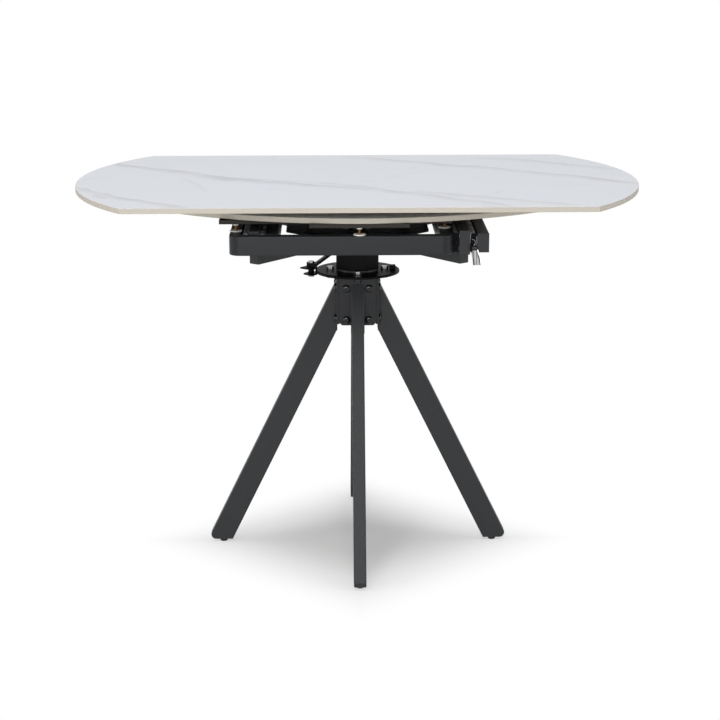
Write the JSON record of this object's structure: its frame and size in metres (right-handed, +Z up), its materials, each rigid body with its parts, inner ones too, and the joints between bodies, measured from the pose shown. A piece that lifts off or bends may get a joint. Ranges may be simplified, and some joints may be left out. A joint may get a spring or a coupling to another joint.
{
  "type": "extending swivel dining table",
  "caption": "Stone-topped dining table on a slanted-leg swivel base; rounded ends, straight sides, and segment leaves stored on ball slides that complete the circle.",
  "frame": {"origin": "on the floor under the middle of the column", "axes": "+X along the top's long axis, +Y towards the rear straight side, +Z up"},
  "size_m": [1.0998, 0.68, 0.75],
  "materials": {
    "stone": "satin sintered stone, pale with soft grey veins, cream body at the edges",
    "anthracite_steel": "fine satin powder coat",
    "tray_steel": "matt powder coat",
    "galvanised_steel": "bright galvanised sheet",
    "bright_steel": "turned steel",
    "zinc_bolts": "clear zinc plate",
    "black_bolts": "black oxide, slight sheen",
    "yellow_zinc": "yellow zinc plate",
    "white_nylon": "moulded nylon",
    "bush_plastic": "turned acetal",
    "black_plastic": "fine-grained moulding",
    "chrome": "bright chrome plate",
    "bracket_steel": "black stove enamel"
  },
  "bodies": {
    "base": {"column": "anthracite_steel", "swivel_plate": "bracket_steel", "spindle": "bright_steel", "spindle_nut": "bright_steel", "plate_bolts": "zinc_bolts", "leg_bolts": "black_bolts", "leg_bracket_front": "anthracite_steel", "leg_bracket_right": "anthracite_steel", "leg_bracket_rear": "anthracite_steel", "leg_bracket_left": "anthracite_steel", "leg_front": "anthracite_steel", "leg_right": "anthracite_steel", "leg_rear": "anthracite_steel", "leg_left": "anthracite_steel", "foot_glide_front": "black_plastic", "foot_glide_right": "black_plastic", "foot_glide_rear": "black_plastic", "foot_glide_left": "black_plastic"},
    "turntable": {"hub": "bracket_steel", "hub_bushes": "bush_plastic", "deck": "anthracite_steel", "bridge_plate_right": "anthracite_steel", "bridge_plate_left": "anthracite_steel", "rail_posts": "anthracite_steel", "top_beam_front": "anthracite_steel", "top_beam_rear": "anthracite_steel", "side_rail_right": "anthracite_steel", "side_rail_left": "anthracite_steel", "tube_caps": "black_plastic", "slide_channels_right": "galvanised_steel", "slide_channels_left": "galvanised_steel", "main_top": "stone", "lock_bracket_right": "bracket_steel", "lock_bracket_left": "bracket_steel", "brake_strut": "bracket_steel", "brake_bolt": "zinc_bolts", "spider_arm_front_right": "anthracite_steel", "spider_arm_front_left": "anthracite_steel", "spider_arm_rear_left": "anthracite_steel", "spider_arm_rear_right": "anthracite_steel"},
    "right_lock_lever": {"lock_lever_right": "chrome"},
    "left_lock_lever": {"lock_lever_left": "chrome"},
    "brake": {"brake_lever": "bracket_steel"},
    "front_leaf": {"leaf_front": "stone", "leaf_tray_front": "tray_steel", "studs_front": "yellow_zinc", "stud_collars_front": "white_nylon", "leaf_frame_front": "anthracite_steel", "frame_caps_front": "black_plastic", "slide_runners_front": "galvanised_steel"},
    "front_cages": {"ball_cages_front": "bright_steel"},
    "rear_leaf": {"leaf_rear": "stone", "leaf_tray_rear": "tray_steel", "studs_rear": "yellow_zinc", "stud_collars_rear": "white_nylon", "leaf_frame_rear": "anthracite_steel", "frame_caps_rear": "black_plastic", "slide_runners_rear": "galvanised_steel"},
    "rear_cages": {"ball_cages_rear": "bright_steel"}
  },
  "joints": [
    {"name": "top_turn", "type": "hinge", "parent": "base", "child": "turntable", "pos_m": [0, 0, 0.61], "axis": [0, 0, 1], "continuous": true},
    {"name": "front_leaf_slide", "type": "slide", "parent": "turntable", "child": "front_leaf", "axis": [0, -1, 0], "range_m": [0, 0.252]},
    {"name": "rear_leaf_slide", "type": "slide", "parent": "turntable", "child": "rear_leaf", "axis": [0, 1, 0], "range_m": [0, 0.252]},
    {"name": "front_cage_roll", "type": "slide", "parent": "turntable", "child": "front_cages", "axis": [0, -1, 0], "range_m": [0, 0.126]},
    {"name": "rear_cage_roll", "type": "slide", "parent": "turntable", "child": "rear_cages", "axis": [0, 1, 0], "range_m": [0, 0.126]},
    {"name": "right_lock_swing", "type": "hinge", "parent": "turntable", "child": "right_lock_lever", "pos_m": [0.2115, -0.282, 0.664], "axis": [-1, 0, 0], "range_deg": [0, 25], "stiffness_Nm_per_rad": 0.05},
    {"name": "left_lock_swing", "type": "hinge", "parent": "turntable", "child": "left_lock_lever", "pos_m": [-0.2115, 0.282, 0.664], "axis": [1, 0, 0], "range_deg": [0, 25], "stiffness_Nm_per_rad": 0.05},
    {"name": "brake_swing", "type": "hinge", "parent": "turntable", "child": "brake", "pos_m": [-0.092, 0, 0.567], "axis": [0, 0, 1], "range_deg": [0, 20], "stiffness_Nm_per_rad": 0.1}
  ],
  "couplings": [
    {"joint": "front_cage_roll", "follows": "front_leaf_slide", "ratio": 0.5},
    {"joint": "rear_cage_roll", "follows": "rear_leaf_slide", "ratio": 0.5}
  ]
}
